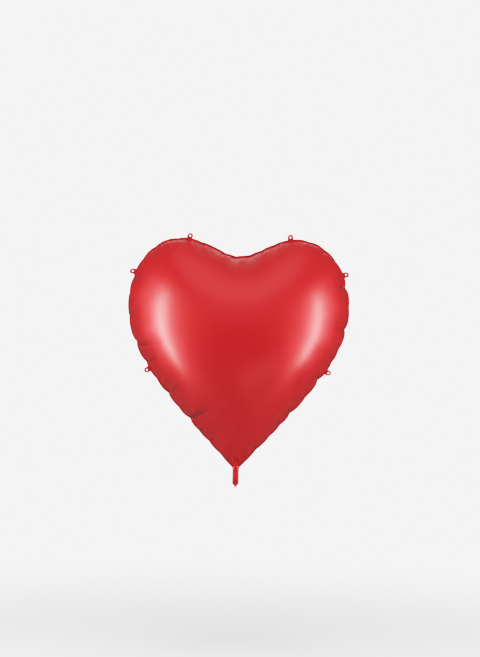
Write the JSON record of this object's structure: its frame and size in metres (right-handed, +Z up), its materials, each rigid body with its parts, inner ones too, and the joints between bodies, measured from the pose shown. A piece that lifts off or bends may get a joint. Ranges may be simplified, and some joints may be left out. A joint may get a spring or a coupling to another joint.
{
  "type": "heart-shaped foil balloon",
  "caption": "Large inflated heart-shaped foil balloon with a sealed seam flange, hanging tabs round its edge and a self-sealing inflation tail.",
  "frame": {"origin": "middle of the neck, where the tail leaves the point of the heart and a ribbon is tied", "axes": "+Z up the heart towards the notch, +X to the viewer's right, the front faces -Y; the heat-sealed seam lies in the plane y = 0"},
  "size_m": [1.29, 0.68, 1.4778],
  "materials": {
    "foil_front": "satin metallic foil",
    "foil_back": "satin metallic foil",
    "valve_film": "clear glossy film",
    "tab_foil": "satin metallic foil, heat sealed"
  },
  "bodies": {
    "balloon": {"front_foil_sheet": "foil_front", "back_foil_sheet": "foil_back", "valve_front_film": "valve_film", "valve_back_film": "valve_film"},
    "tail": {"tail_front_ply": "foil_front", "tail_back_ply": "foil_back", "valve_inlet_front_film": "valve_film", "valve_inlet_back_film": "valve_film"},
    "top_left_tab": {"top_left_tab": "tab_foil"},
    "top_right_tab": {"top_right_tab": "tab_foil"},
    "upper_left_tab": {"upper_left_tab": "tab_foil"},
    "upper_right_tab": {"upper_right_tab": "tab_foil"},
    "lower_left_tab": {"lower_left_tab": "tab_foil"},
    "lower_right_tab": {"lower_right_tab": "tab_foil"}
  },
  "joints": [
    {"name": "tail_fold", "type": "hinge", "parent": "balloon", "child": "tail", "pos_m": [0, 0, 0], "axis": [-1, 0, 0], "range_deg": [-90, 90], "stiffness_Nm_per_rad": 0.004},
    {"name": "top_left_tab_fold", "type": "hinge", "parent": "balloon", "child": "top_left_tab", "pos_m": [-0.29354, 0, 1.3369], "axis": [0.9893, 0, -0.1458], "range_deg": [-85, 85], "stiffness_Nm_per_rad": 0.0006},
    {"name": "top_right_tab_fold", "type": "hinge", "parent": "balloon", "child": "top_right_tab", "pos_m": [0.29354, 0, 1.3369], "axis": [0.9893, 0, 0.1458], "range_deg": [-85, 85], "stiffness_Nm_per_rad": 0.0006},
    {"name": "upper_left_tab_fold", "type": "hinge", "parent": "balloon", "child": "upper_left_tab", "pos_m": [-0.60969, 0, 1.13387], "axis": [0.3883, 0, 0.9215], "range_deg": [-85, 85], "stiffness_Nm_per_rad": 0.0006},
    {"name": "upper_right_tab_fold", "type": "hinge", "parent": "balloon", "child": "upper_right_tab", "pos_m": [0.60969, 0, 1.13387], "axis": [0.3883, 0, -0.9215], "range_deg": [-85, 85], "stiffness_Nm_per_rad": 0.0006},
    {"name": "lower_left_tab_fold", "type": "hinge", "parent": "balloon", "child": "lower_left_tab", "pos_m": [-0.51768, 0, 0.56721], "axis": [-0.5565, 0, 0.8308], "range_deg": [-85, 85], "stiffness_Nm_per_rad": 0.0006},
    {"name": "lower_right_tab_fold", "type": "hinge", "parent": "balloon", "child": "lower_right_tab", "pos_m": [0.51768, 0, 0.56721], "axis": [-0.5565, 0, -0.8308], "range_deg": [-85, 85], "stiffness_Nm_per_rad": 0.0006}
  ]
}
